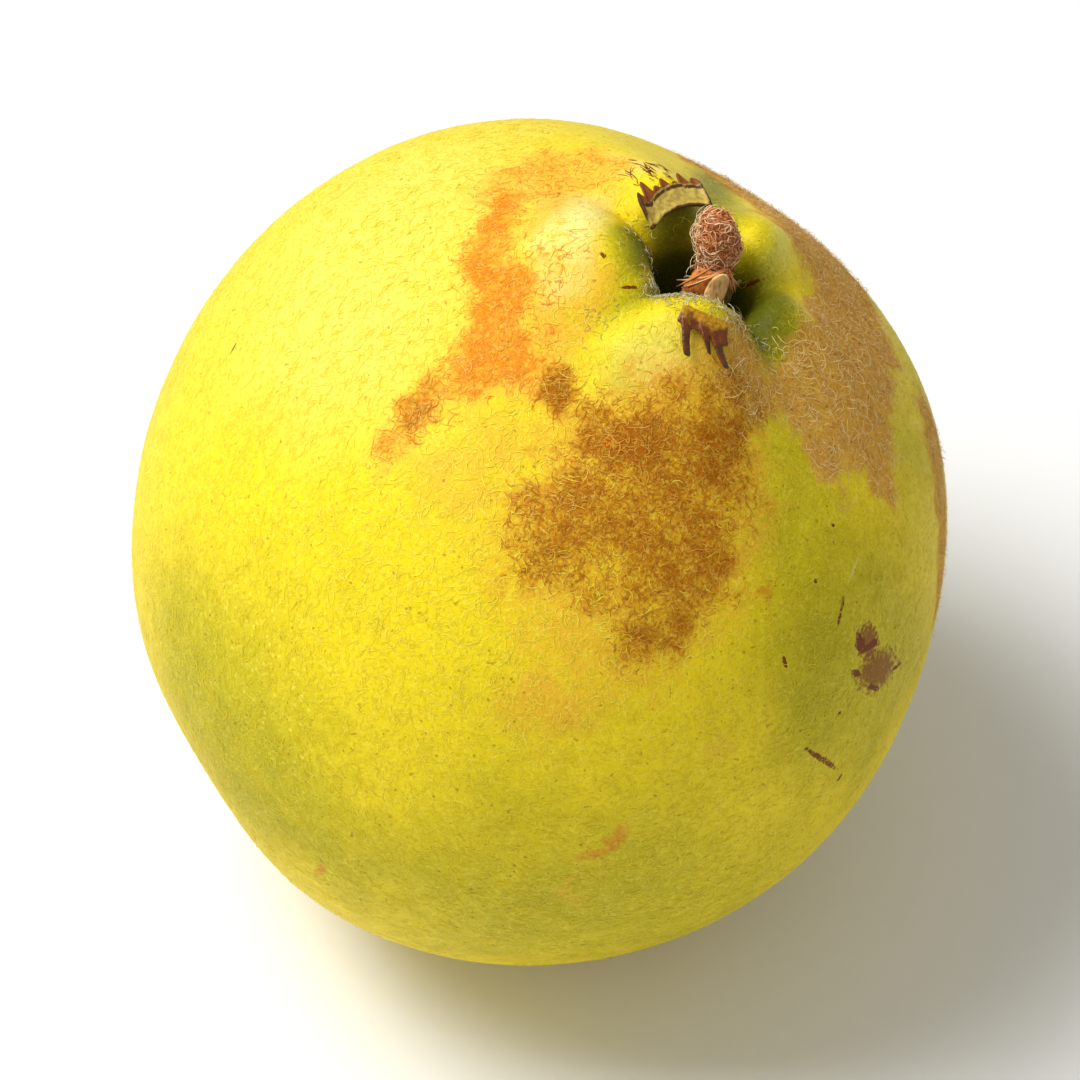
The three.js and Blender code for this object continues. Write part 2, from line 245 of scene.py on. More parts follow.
# Small marks: tilt, bearing, heading, length and width in millimetres. A
# heading of 0 runs from the calyx towards the stem, and 90 runs round the fruit.
MARKS = {
    "blot": [
        (61.5, 317.5, 66, 9.5, 5.4), (56, 314.5, 40, 5.5, 4.0),
    ],
    "scratch": [
        (45.5, 313.1, 128, 4.0, 0.35),
    ],
    "slit": [
        (49.8, 308.3, 154, 3.4, 0.5), (71.4, 306.8, 51, 8.4, 0.7), (77.3, 312.7, 153, 1.0, 0.6),
        (55.6, 312.5, 16, 2.6, 1.5), (56.9, 315.4, 88, 3.2, 1.0), (59.7, 311.7, 60, 2.3, 0.8),
        (63.9, 316.6, 54, 3.2, 0.7), (63.9, 323.5, 81, 2.6, 0.6), (54.6, 295.8, 22, 1.5, 0.5),
        (64.7, 308.6, 0, 0.6, 0.6), (39.1, 311.3, 0, 0.5, 0.5), (45, 303, 0, 0.5, 0.5),
        (12.0, 216.8, 157, 2.2, 0.4), (10.2, 20, 48, 3.4, 0.4), (13.6, 195.5, 99, 0.8, 0.6),
        (68.5, 179, 40, 1.8, 0.3), (18.6, 106.5, 69, 1.6, 0.7), (20.7, 112.3, 38, 1.0, 0.5),
    ],
    "fleck": [
        (45.1, 291.1, 93, 2.1, 1.1), (85.2, 275.8, 124, 5.4, 2.0), (83, 277.2, 60, 3.4, 1.6),
        (81, 277.8, 12, 4.2, 2.4), (113.1, 244.6, 173, 5.0, 1.3),
    ],
}
# For each kind of mark its colour, its strength, and how near its middle it is full.
MARK_LOOKS = {
    "blot": ("blot", 0.9, 0.25),
    "scratch": ("pale", 0.35, 0.6),
    "slit": ("scar", 0.95, 0.6),
    "fleck": ("fleck", 0.8, -0.3),
}
MARK_DEPTH = 6 * MM
MARK_END = 1.25  # where a mark fades out, as a share of its own size squared


def chart(places):
    """Tilt and bearing in degrees as places on a flat round chart with the calyx in its middle."""
    tilt, bearing = np.array(places, float).T
    return np.stack([tilt * np.cos(np.radians(bearing)), tilt * np.sin(np.radians(bearing))], 1)


def inside_by(spots, outline):
    """How far each spot of the chart is inside an outline, in degrees, and below 0 outside it."""
    corners = chart(outline)
    nearest = np.full(len(spots), np.inf)
    inside = np.zeros(len(spots), bool)
    for a, b in zip(corners, np.roll(corners, -1, axis=0)):
        run, away = b - a, spots - a
        t = np.clip(away @ run / (run @ run), 0, 1)
        nearest = np.minimum(nearest, np.linalg.norm(away - t[:, None] * run, axis=1))
        crosses = (a[1] > spots[:, 1]) != (b[1] > spots[:, 1])
        inside ^= crosses & (away[:, 0] < run[0] * away[:, 1] / (run[1] or 1e-9))
    return np.where(inside, nearest, -nearest)


def covered(spots, patches):
    """How strongly the patches cover each spot of the chart, from 0 to 1."""
    most = np.zeros(len(spots))
    for strength, soft, outline in patches:
        share = np.clip(0.5 + inside_by(spots, outline) / soft, 0, 1)
        most = np.maximum(most, strength * share * share * (3 - 2 * share))
    return most


def fade(distance, end, width):
    """0 past the end, rising to 1 over that width before it."""
    return np.clip((end - distance) / width, 0, 1)


# ---- Working by hand ----


def deselect_all():
    if bpy.context.object and bpy.context.object.mode != "OBJECT":
        bpy.ops.object.mode_set(mode="OBJECT")
    bpy.ops.object.select_all(action="DESELECT")


def pick(piece):
    """Makes the piece the only one selected, and the active one."""
    deselect_all()
    piece.select_set(True)
    bpy.context.view_layer.objects.active = piece


def copy_of(node, name):
    """A copy of a CAD node's mesh under a new name, with its loose triangles merged."""
    piece = bpy.data.objects.new(name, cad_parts[node].data.copy())
    piece.data.name = name
    piece.data.materials.clear()
    bpy.context.scene.collection.objects.link(piece)
    pick(piece)
    bpy.ops.object.mode_set(mode="EDIT")
    bpy.ops.mesh.select_all(action="SELECT")
    bpy.ops.mesh.remove_doubles(threshold=0.005 * MM)
    bpy.ops.mesh.tris_convert_to_quads(face_threshold=0.8, shape_threshold=0.8)
    bpy.ops.object.mode_set(mode="OBJECT")
    return piece


def modify(piece, kind, **settings):
    """Adds a modifier, sets it and applies it."""
    pick(piece)
    bpy.ops.object.modifier_add(type=kind)
    modifier = piece.modifiers[-1]
    for name, value in settings.items():
        setattr(modifier, name, value)
    bpy.ops.object.modifier_apply(modifier=modifier.name)


def roughen(piece, size, height, group=""):
    """Pushes the surface in and out by cloudy lumps of that size."""
    texture = bpy.data.textures.new(f"{piece.name}_lumps", "CLOUDS")
    texture.noise_scale = size
    texture.noise_depth = 1
    modify(
        piece, "DISPLACE", texture=texture, texture_coords="LOCAL",
        strength=height, mid_level=0.5, vertex_group=group,
    )


def fine_copy(node, name, levels, *lumps):
    """A copy of a CAD node made of finer faces, roughened by lumps of each (size, height)."""
    piece = copy_of(node, name)
    modify(piece, "SUBSURF", levels=levels, render_levels=levels)
    for size, height in lumps:
        roughen(piece, size * MM, height * MM)
    return piece


def mesh_piece(name, points, faces, material):
    """A piece from vertices and faces worked out in code."""
    mesh = bpy.data.meshes.new(name)
    mesh.from_pydata(points.tolist(), [], faces)
    mesh.materials.append(material)
    piece = bpy.data.objects.new(name, mesh)
    bpy.context.scene.collection.objects.link(piece)
    return piece


def hand_in(piece, slot, *nodes):
    """Smooth-shades a finished piece, hangs it under the root body and hides the CAD nodes it replaces."""
    piece.data.polygons.foreach_set("use_smooth", [True] * len(piece.data.polygons))
    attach(piece, "root")
    if nodes:
        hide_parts(*nodes)


def of_vertices(piece, what):
    """The place ("co") or the facing ("normal") of each vertex."""
    found = np.empty(len(piece.data.vertices) * 3)
    piece.data.vertices.foreach_get(what, found)
    return found.reshape(-1, 3)


def keep_above_floor(piece):
    """Flattens what would lie below the floor."""
    places = of_vertices(piece, "co")
    places[:, 2] = np.maximum(places[:, 2], 0.0)
    piece.data.vertices.foreach_set("co", places.ravel())
    piece.data.update()


def write_attribute(piece, name, values):
    layer = piece.data.attributes.new(name, "FLOAT", "POINT")
    layer.data.foreach_set("value", values.astype(np.float32))


def read_attribute(piece, name):
    values = np.empty(len(piece.data.vertices), np.float32)
    piece.data.attributes[name].data.foreach_get("value", values)
    return values


# ---- Materials ----


class Finish:
    """A node material being painted. Inputs are numbers, colours of three numbers, or sockets."""

    def __init__(self, name, roughness, specular):
        self.material = bpy.data.materials.new(name)
        self.material.use_nodes = True
        self.tree = self.material.node_tree
        self.shader = self.tree.nodes["Principled BSDF"]
        self.set("Roughness", roughness)
        self.set("Specular IOR Level", specular)
        self.place = self.node("ShaderNodeTexCoord").outputs["Object"]
        self.colour = (1, 1, 1)

    def set(self, name, value):
        """Sets one of the shader's own inputs."""
        self.put(self.shader.inputs[name], value)

    def put(self, socket, value):
        if isinstance(value, bpy.types.NodeSocket):
            self.tree.links.new(value, socket)
        else:
            socket.default_value = (*value, 1.0) if socket.type == "RGBA" else value

    def node(self, kind, *inputs, **settings):
        made = self.tree.nodes.new(kind)
        for name, value in settings.items():
            setattr(made, name, value)
        for socket, value in zip(made.inputs, inputs):
            self.put(socket, value)
        return made

    def maths(self, operation, *values):
        return self.node("ShaderNodeMath", *values, operation=operation).outputs[0]

    def vary(self, value, pattern, amount):
        """The value, raised and lowered by a cloudy pattern."""
        return self.maths("MULTIPLY_ADD", self.maths("SUBTRACT", pattern, 0.5), amount, value)

    def vectors(self, operation, *values, output="Vector"):
        return self.node("ShaderNodeVectorMath", *values, operation=operation).outputs[output]

    def noise(self, size, detail=2.0, twist=0.0, shift=0.0, drawn_out=1.0):
        """A cloudy pattern whose lumps are about this size, and that many times as long upwards."""
        place = self.vectors("ADD", self.place, (shift, shift, shift)) if shift else self.place
        if drawn_out != 1.0:
            place = self.vectors("MULTIPLY", place, (1.0, 1.0, 1 / drawn_out))
        made = self.node("ShaderNodeTexNoise")
        given = {"Vector": place, "Scale": 1 / size, "Detail": detail, "Distortion": twist}
        for name, value in given.items():
            self.put(made.inputs[name], value)
        return made.outputs["Fac"]

    def between(self, value, low, high, start=0.0, end=1.0):
        """Start at low, end at high, and a smooth change in between."""
        return self.node(
            "ShaderNodeMapRange", value, low, high, start, end, interpolation_type="SMOOTHSTEP",
        ).outputs["Result"]

    def dots(self, size, radius):
        """Round spots, one in each cell of this size, 1 in the middle of each spot."""
        made = self.node("ShaderNodeTexVoronoi", self.place)
        self.put(made.inputs["Scale"], 1 / size)
        return self.between(made.outputs["Distance"], radius * 0.5, radius, 1.0, 0.0)

    def threads(self, size, width, shift):
        """Fine curly lines, 1 along each line and 0 away from it."""
        level = self.noise(size, 1.0, 0.0, shift)
        away = self.maths("ABSOLUTE", self.maths("SUBTRACT", level, 0.5))
        return self.between(away, 0.0, width, 1.0, 0.0)

    def attribute(self, name):
        return self.node("ShaderNodeAttribute", attribute_name=name).outputs["Fac"]

    def mix(self, factor, a, b, blend="MIX"):
        made = self.node("ShaderNodeMix", data_type="RGBA", blend_type=blend, clamp_factor=True)
        given = {"Factor_Float": factor, "A_Color": a, "B_Color": b}
        for socket in made.inputs:
            if socket.identifier in given:
                self.put(socket, given[socket.identifier])
        return next(socket for socket in made.outputs if socket.identifier == "Result_Color")

    def over(self, mask, tone, strength=1.0, blend="MIX"):
        """Paints a tone over what is there, where the mask is 1."""
        if strength != 1.0:
            mask = self.maths("MULTIPLY", mask, strength)
        self.colour = self.mix(mask, self.colour, tone, blend)

    def bump(self, height, depth):
        made = self.node("ShaderNodeBump")
        self.put(made.inputs["Strength"], 1.0)
        self.put(made.inputs["Distance"], depth)
        self.put(made.inputs["Height"], height)
        self.set("Normal", made.outputs["Normal"])

    def done(self, piece=None):
        """The painted material, put on the piece if there is one yet."""
        self.set("Base Color", self.colour)
        if piece:
            piece.data.materials.clear()
            piece.data.materials.append(self.material)
        return self.material


def shade(red, green, blue):
    """A colour picked on screen, as the linear values that Blender keeps."""
    def linear(v):
        v /= 255
        return v / 12.92 if v <= 0.04045 else ((v + 0.055) / 1.055) ** 2.4
    return (linear(red), linear(green), linear(blue))


def tone(name, description, *on_screen):
    return FloatVectorProperty(
        name=name, description=description, default=shade(*on_screen),
        subtype="COLOR", min=0, max=1, size=3,
    )


# ---- Threads of down and wool ----

MAP_EDGE = 0.02  # how far the threads keep from the edges of their map


def curled(roots, headings, normals, lengths, turns, lifts, steps):
    """Centrelines that start at the roots, lie along the surface and curl as they go."""
    paths = [roots]
    sides = np.cross(normals, headings)
    step = (lengths / steps)[:, None]
    for k in range(steps):
        angle = (turns * (k + 0.5) / steps)[:, None]
        ways = headings * np.cos(angle) + sides * np.sin(angle)
        rise = (lifts / steps)[:, None] * math.cos(math.pi * k / (steps - 0.5))
        paths.append(paths[-1] + ways * step + normals * rise)
    return np.stack(paths, 1)


def kept_in_box(paths, room):
    """The paths, pressed flat where they or their thickness would come out of the solids' box."""
    low, high = (np.array(corner) for corner in CAD_BOX)
    return np.clip(paths, low + room, high - room)


def thread_piece(name, points, shape, side, run, tones, material):
    """A piece of like threads. Its map holds the tone of each thread and the run along it."""
    count, own = len(tones), len(run)
    faces = [tuple(own * i + v for v in face) for i in range(count) for face in shape]
    piece = mesh_piece(name, points, faces, material)
    u = MAP_EDGE + (1 - 2 * MAP_EDGE) * tones[:, None] + MAP_EDGE * side[None, :]
    v = np.broadcast_to(MAP_EDGE + (1 - 2 * MAP_EDGE) * run[None, :], (count, own))
    places = np.stack([u, v], 2).reshape(-1, 2)
    corners = np.empty(len(piece.data.loops), np.int32)
    piece.data.loops.foreach_get("vertex_index", corners)
    layer = piece.data.uv_layers.new(name="OFBake")
    layer.data.foreach_set("uv", places[corners].astype(np.float32).ravel())
    return piece


def ribbons(name, paths, normals, widths, tones, material):
    """Flat pointed ribbons along the paths, facing outwards."""
    count, steps = paths.shape[0], paths.shape[1] - 1
    across = np.cross(np.gradient(paths, axis=1), normals[:, None, :])
    across /= np.maximum(np.linalg.norm(across, axis=2, keepdims=True), 1e-12)
    half = widths[:, None, None] / 2 * (1 - 0.25 * np.arange(steps) / steps)[None, :, None]
    left = paths[:, :-1] - across[:, :-1] * half
    right = paths[:, :-1] + across[:, :-1] * half
    rows = np.stack([left, right], 2).reshape(count, 2 * steps, 3)
    points = np.concatenate([rows, paths[:, -1:]], 1).reshape(-1, 3)
    shape = [(2 * k, 2 * k + 1, 2 * k + 3, 2 * k + 2) for k in range(steps - 1)]
    shape.append((2 * steps - 2, 2 * steps - 1, 2 * steps))
    side = np.append(np.tile([-0.5, 0.5], steps), 0.0)
    run = np.append(np.repeat(np.arange(steps) / steps, 2), 1.0)
    return thread_piece(name, points, shape, side, run, tones, material)


def tubes(name, paths, thicknesses, tones, material):
    """Closed three-sided threads along the paths, thin at both ends."""
    rows = paths.shape[1]
    along = np.gradient(paths, axis=1)
    along /= np.maximum(np.linalg.norm(along, axis=2, keepdims=True), 1e-12)
    guide = np.broadcast_to(np.array([0.31, 0.17, 0.93]), along.shape)
    beside = np.cross(along, guide)
    beside /= np.maximum(np.linalg.norm(beside, axis=2, keepdims=True), 1e-12)
    over = np.cross(beside, along)
    taper = 0.35 + 0.65 * np.sin(np.pi * (np.arange(rows) + 0.5) / rows)
    radius = thicknesses[:, None, None] / 2 * taper[None, :, None]
    turns = [math.radians(120 * k) for k in range(3)]
    rings = [paths + radius * (beside * math.cos(a) + over * math.sin(a)) for a in turns]
    points = np.stack(rings, 2).reshape(-1, 3)
    shape = [(2, 1, 0)]
    for start in range(0, 3 * rows - 3, 3):
        for k in range(3):
            n = (k + 1) % 3
            shape.append((start + k, start + n, start + n + 3, start + k + 3))
    shape.append((3 * rows - 3, 3 * rows - 2, 3 * rows - 1))
    side = np.tile([-0.5, 0.0, 0.5], rows)
    run = np.repeat(np.arange(rows) / (rows - 1), 3)
    return thread_piece(name, points, shape, side, run, tones, material)


def thread_material(name, root, palette):
    """Tones from the palette across the map, and the root's colour at the root."""
    finish = Finish(name, 0.7, 0.25)
    own_map = finish.node("ShaderNodeUVMap", uv_map="OFBake").outputs["UV"]
    parts = finish.node("ShaderNodeSeparateXYZ", own_map).outputs
    ramp = finish.node("ShaderNodeValToRGB", parts["X"])
    stops = ramp.color_ramp.elements
    while len(stops) < len(palette):
        stops.new(0.5)
    for k, colour in enumerate(palette):
        stops[k].position = k / (len(palette) - 1)
        stops[k].color = (*shade(*colour), 1.0)
    finish.colour = shade(*root)
    finish.over(finish.between(parts["Y"], 0.0, 0.45), ramp.outputs["Color"])
    return finish.done()


def scatter(piece, per_mm2, weights, seed, values=None):
    """Random places on a mesh, as thick as the vertex weights say: points, normals and the value there."""
    mesh = piece.data
    mesh.calc_loop_triangles()
    corners = np.empty(len(mesh.loop_triangles) * 3, np.int32)
    mesh.loop_triangles.foreach_get("vertices", corners)
    corners = corners.reshape(-1, 3)
    co, normals = of_vertices(piece, "co"), of_vertices(piece, "normal")
    a, b, c = (co[corners[:, k]] for k in range(3))
    areas = np.linalg.norm(np.cross(b - a, c - a), axis=1) / 2 / MM**2
    share = areas * weights[corners].mean(1)
    rng = np.random.default_rng(seed)
    count = int(share.sum() * per_mm2)
    chosen = rng.choice(len(share), count, p=share / share.sum())
    r1, r2 = np.sqrt(rng.random(count)), rng.random(count)
    shares = np.stack([1 - r1, r1 * (1 - r2), r1 * r2], 1)[:, :, None]
    at = (co[corners[chosen]] * shares).sum(1)
    facing = (normals[corners[chosen]] * shares).sum(1)
    facing /= np.linalg.norm(facing, axis=1, keepdims=True)
    found = np.zeros(count) if values is None else (values[corners[chosen]] * shares[:, :, 0]).sum(1)
    return at, facing, found, rng


def headings_on(normals, rng, flow=None, share=0.0):
    """Random ways along the surface, drawn by that share towards a flow."""
    ways = rng.normal(size=normals.shape)
    ways /= np.linalg.norm(ways, axis=1, keepdims=True)
    if flow is not None:
        ways = ways * (1 - share) + flow * share
    ways -= normals * (ways * normals).sum(1, keepdims=True)
    return ways / np.maximum(np.linalg.norm(ways, axis=1, keepdims=True), 1e-9)


def hand_in_tubes(name, slot, paths, rng, look):
    """Closed threads along the paths, their widths and tones drawn by chance."""
    widths = rng.uniform(*look["width"], len(paths)) * MM
    material = thread_material(name, look["root"], look["palette"])
    hand_in(tubes(name, paths, widths, rng.random(len(paths)), material), slot)


def curly_threads(name, slot, base, per_mm2, weights, seed, look):
    """Round curly threads that grow from a piece, as thick as the weights say."""
    at, facing, _, rng = scatter(base, per_mm2, weights, seed)
    count, steps = len(at), look["steps"]
    lengths = rng.uniform(*look["length"], count) * MM
    turns = rng.choice([-1.0, 1.0], count) * rng.uniform(*look["turn"], count)
    lifts = lengths * rng.uniform(*look["lift"], count)
    paths = curled(at, headings_on(facing, rng), facing, lengths, turns, lifts, steps)
    sag = np.linspace(0, 1, steps + 1)[None, :, None] ** 2 * (lengths**2)[:, None, None] / (8 * MM)
    paths = kept_in_box(paths - facing[:, None, :] * sag * look["hug"], 0.1 * MM)
    hand_in_tubes(name, slot, paths, rng, look)


# ---- Skin ----

STEM_RING = 9 * MM  # how far from the axis the russet ring at the stem end lies


def wander(places, size, reach):
    """Moves over the chart that change smoothly from place to place, for ragged edges."""
    elsewhere = Vector((31, 17, 5))
    spots = [Vector(place) / size for place in places]
    return reach * np.array([(noise.noise(spot), noise.noise(spot + elsewhere)) for spot in spots])


def shade_in_hollows(local):
    """How deep in the calyx basin or the stem cavity each point of the fruit's own frame lies, for the
    painted shade there.
    """
    height = local[:, 2]
    basin_middle = 1.7 * MM
    from_basin = np.hypot(local[:, 0] - basin_middle, local[:, 1])
    basin = fade(from_basin, 11 * MM, 5.5 * MM) * fade(height, 47.5 * MM, 5 * MM)
    cavity = fade(from_axis(local), 9 * MM, 5 * MM)
    return np.where(height > 0, basin, cavity)


def paint_skin(skin):
    """Writes where each colour lies on the skin as attributes of its vertices."""
    points = of_vertices(skin, "co")
    local = in_fruit(points)
    tilt = tilt_of(local)
    spots = chart(np.stack([tilt, np.degrees(np.arctan2(local[:, 1], local[:, 0]))], 1))
    ragged = spots + wander(points, 6 * MM, 3.0) + wander(points, 2.2 * MM, 2.2)
    drifting = spots + wander(points, 16 * MM, 6.0) * np.clip(tilt / 30, 0, 1)[:, None]
    covers = {name: covered(ragged, patches) for name, patches in FELT.items()}
    from_ring = np.abs(from_axis(local) - STEM_RING)
    at_stem = fade(from_ring, 4 * MM, 4 * MM) * (local[:, 2] < 0)
    covers["tan"] = np.maximum(covers["tan"], 0.6 * at_stem)
    covers["green"] = covered(drifting, GREEN_AND_SHADE)
    covers["pale"] = covered(drifting, PALE_AND_HIGHLIGHT)
    covers["wool"] = covered(spots, WOOL)
    covers["blebs"] = covered(spots, BLEBS)
    # Painted shade in the calyx basin, the stem cavity and the creases.
    covers["hollow_shade"] = np.maximum(shade_in_hollows(local), covered(spots, DEEP_GREEN_SHADE))
    for name, cover in covers.items():
        write_attribute(skin, name, cover)


def surface_at(skin, tilt, bearing):
    """The place on the skin and the way it faces there."""
    way, well_outside = direction(tilt, bearing), 80 * MM
    hit, place, normal, _ = skin.ray_cast(CENTRE + way * well_outside, -way)
    if not hit:
        raise RuntimeError(f"no skin at tilt {tilt}, bearing {bearing}")
    return place, normal


def mark_frame(skin, tilt, bearing, heading, length, width):
    """The middle of a mark, and the ways along, across and into it in units of its own size."""
    place, normal = surface_at(skin, tilt, bearing)
    down = direction(tilt + 1, bearing) - direction(tilt - 1, bearing)
    down = (down - normal * down.dot(normal)).normalized()
    turn = math.radians(heading)
    along = down * math.cos(turn) + normal.cross(down) * math.sin(turn)
    across = normal.cross(along)
    return place, along / (length * MM / 2), across / (width * MM / 2), normal / MARK_DEPTH


def mark_mask(finish, frame_of_mark, rough, full_at):
    """1 inside a small long mark on the skin and 0 outside it, fading from full_at outwards."""
    place, *ways = frame_of_mark
    away = finish.vectors("SUBTRACT", finish.place, tuple(place))
    total = rough
    for way in ways:
        distance = finish.vectors("DOT_PRODUCT", away, tuple(way), output="Value")
        total = finish.maths("MULTIPLY_ADD", distance, distance, total)
    return finish.between(total, full_at, MARK_END, 1.0, 0.0)


def clear_of_marks(skin, points):
    """Which points lie clear of every mark on the skin."""
    clear = np.ones(len(points), bool)
    for mark in (mark for marks in MARKS.values() for mark in marks):
        place, *ways = mark_frame(skin, *mark)
        clear &= (((points - np.array(place)) @ np.array(ways).T) ** 2).sum(1) > MARK_END + 0.05
    return clear


class QuinceSkinSettings(bpy.types.PropertyGroup):
    ripe: tone("Ripe", "Yellow of the ripe skin", 242, 217, 18)
    # Green skin, also used as painted shade low on the fruit and round the calyx.
    green: tone("Green", "Skin that is still green", 186, 175, 10)
    # Painted shade: dark green, partly the skin's own, for the calyx basin, the stem cavity and the
    # creases.
    deep_green_shade: tone("Deep green", "Green in the calyx basin and its creases", 74, 82, 8)
    # Partly painted highlight: paler yellow where the light falls.
    pale: tone("Pale", "Pale yellow over the lobes", 253, 242, 150)
    gold: tone("Golden halo", "Golden skin round the felt", 241, 180, 50)
    amber_edge: tone("Amber edge", "Thin amber felt", 246, 194, 62)
    amber: tone("Amber felt", "Bright orange felt", 232, 133, 18)
    rust_edge: tone("Rust edge", "Thin rust felt", 198, 136, 12)
    rust: tone("Rust felt", "Rust-brown felt", 165, 90, 2)
    tan_edge: tone("Tan edge", "Thin grey-brown felt", 226, 178, 66)
    tan: tone("Tan felt", "Grey-brown felt on the shaded flank", 228, 168, 62)
    down: tone("Down", "Thin pale down close to the skin", 252, 238, 88)
    fleck: tone("Fleck", "Small orange-brown flecks", 214, 136, 22)
    scar: tone("Scar", "Dark dry tissue in slits", 118, 50, 0)
    blot: tone("Blot", "Olive-brown blots", 138, 80, 0)
    roughness: FloatProperty(
        name="Roughness", description="Roughness of the bare skin",
        default=0.5, min=0, max=1, subtype="FACTOR",
    )
    thread: FloatProperty(
        name="Thread size", description="Size of the curls in the thin down",
        default=1.1 * MM, min=0.2 * MM, max=5 * MM, unit="LENGTH",
    )


def make_skin_material(skin, settings):
    finish = Finish("quince_skin", settings.roughness, 0.14)
    broad = finish.noise(14 * MM, 3.0)
    cloudy = finish.noise(3.2 * MM, 3.0, shift=0.3)
    grain = finish.noise(0.45 * MM, 1.0, shift=0.7)
    blotchy = finish.vary(finish.vary(0.0, cloudy, 1.0), grain, 0.9)
    curls = finish.maths(
        "MAXIMUM",
        finish.threads(settings.thread, 0.035, 0.11),
        finish.threads(settings.thread * 0.8, 0.03, 0.57),
    )

    def spread_of(name, full_at):
        """Where a patch shows, with a blotchy edge."""
        strength = finish.attribute(name)
        ragged = finish.maths("MULTIPLY_ADD", finish.between(strength, 0.0, 0.25), blotchy, strength)
        return finish.between(ragged, 0.1, full_at)

    finish.colour = settings.ripe
    # Green skin, which also darkens the fruit low down and round the calyx as painted shade.
    ripeness = finish.vary(finish.vary(finish.attribute("green"), broad, 1.1), cloudy, 0.7)
    finish.over(ripeness, settings.green)
    finish.over(spread_of("gold", 0.9), settings.gold, 0.75)
    # Painted highlight, partly pale skin: paler yellow on the lobes and the lit upper left.
    finish.over(finish.attribute("pale"), settings.pale, 0.85)
    felted = 0.0
    for name, full_at in (("tan", 0.8), ("amber", 0.8), ("rust", 0.92)):
        depth = finish.maths("MULTIPLY_ADD", blotchy, 1.1, finish.attribute(name))
        depth = finish.between(finish.vary(depth, broad, 0.8), 0.35, 1.25)
        mask = spread_of(name, full_at)
        finish.over(mask, finish.mix(depth, getattr(settings, f"{name}_edge"), getattr(settings, name)))
        felted = finish.maths("MAXIMUM", felted, mask)
    # Painted shade: dark green over the calyx basin, the stem cavity and the creases.
    finish.over(finish.attribute("hollow_shade"), settings.deep_green_shade)

    # Painted shadow: the low spots of the grain darkened, as shade between the threads of down.
    painted_shadow_between_threads = (0.62, 0.5, 0.3)
    finish.over(finish.between(grain, 0.46, 0.34), painted_shadow_between_threads, 0.3, "MULTIPLY")
    bare = finish.maths("SUBTRACT", 1.0, finish.attribute("hollow_shade"))
    finish.over(finish.maths("MULTIPLY", curls, bare), settings.down, 0.3)
    blebs = finish.maths("MULTIPLY", finish.dots(1.2 * MM, 0.26), finish.attribute("blebs"))
    finish.over(blebs, settings.down, 0.5)
    pores = finish.between(finish.noise(0.6 * MM, 0.0, shift=0.21), 0.77, 0.82)
    finish.over(pores, settings.blot, 0.5)

    rough = finish.vary(0.0, grain, 2.0)
    for kind, marks in MARKS.items():
        colour, strength, full_at = MARK_LOOKS[kind]
        for mark in marks:
            mask = mark_mask(finish, mark_frame(skin, *mark), rough, full_at)
            finish.over(mask, getattr(settings, colour), strength)
    finish.set("Roughness", finish.between(felted, 0.0, 1.0, settings.roughness, 0.85))
    finish.bump(finish.maths("MULTIPLY_ADD", curls, 0.45, grain), 0.05 * MM)
    finish.done(skin)


class QUINCE_OT_skin(bpy.types.Operator):
    """Lay the skin over the flesh, with its felt patches, green parts and marks"""

    bl_idname = "quince.skin"
    bl_label = "Skin"

    def execute(self, context):
        skin = fine_copy("fruit", "quince_skin", 2)
        paint_skin(skin)
        group = skin.vertex_groups.new(name="felted")
        felted = np.maximum(read_attribute(skin, "tan"), read_attribute(skin, "rust") * 0.5)
        for index in np.nonzero(felted > 0.02)[0]:
            group.add([int(index)], float(felted[index]), "REPLACE")
        roughen(skin, 1.6 * MM, 0.3 * MM, "felted")
        roughen(skin, 5 * MM, 0.12 * MM)
        keep_above_floor(skin)
        make_skin_material(skin, context.scene.quince_skin)
        hand_in(skin, "skin", "fruit")
        return {"FINISHED"}


# ---- Down ----
# How each coat of down looks: how much longer than the mean its threads are,
# how far they flow towards the stem, how high they stand as a share of their
# length, how much of their tone is chance, and how rare the palest ones are.

BARE_COAT = {
    "longer": 1.0, "flow": 0.15, "lift": 0.12, "spread": 0.45, "rarity": 1.0,
    "root": (226, 202, 18), "palette": ((190, 180, 20), (216, 200, 28), (242, 222, 38), (253, 240, 90)),
}
# The coats on felt also have a share of the full number of threads, and the
# gain and cut that turn how felted the skin is into how thick they grow.
FELT_COATS = {
    "amber": {
        "share": 0.7, "gain": 1.2, "cut": 0.2,
        "longer": 0.8, "flow": 0.0, "lift": 0.12, "spread": 1.0, "rarity": 1.6,
        "root": (228, 130, 18), "palette": ((234, 140, 22), (242, 168, 48), (252, 212, 106)),
    },
    "rust": {
        "share": 0.8, "gain": 1.4, "cut": 0.4,
        "longer": 1.0, "flow": 0.0, "lift": 0.2, "spread": 1.0, "rarity": 1.5,
        "root": (172, 100, 8), "palette": ((178, 108, 8), (202, 136, 26), (238, 184, 74)),
    },
    "tan": {
        "share": 0.8, "gain": 1.3, "cut": 0.3,
        "longer": 1.3, "flow": 0.35, "lift": 0.45, "spread": 1.0, "rarity": 1.3,
        "root": (212, 158, 62), "palette": ((216, 164, 64), (240, 200, 104), (255, 238, 176)),
    },
}
LOWEST_DOWN = 1.2 * MM  # how high above the floor the first down grows
OFF_THE_SKIN = 0.02 * MM


class QuinceDownSettings(bpy.types.PropertyGroup):
    length: FloatProperty(
        name="Length", description="Mean length of a thread of down",
        default=1.5 * MM, min=0.3 * MM, max=6 * MM, unit="LENGTH",
    )
    width: FloatProperty(
        name="Width", description="Width of a thread of down",
        default=0.07 * MM, min=0.02 * MM, max=0.5 * MM, unit="LENGTH",
    )
    thin: FloatProperty(
        name="Thin down", description="Threads on each square millimetre of bare skin",
        default=2.4, min=0, max=10,
    )
    thick: FloatProperty(
        name="Felt", description="Threads on each square millimetre of felt",
        default=7.0, min=0, max=30,
    )


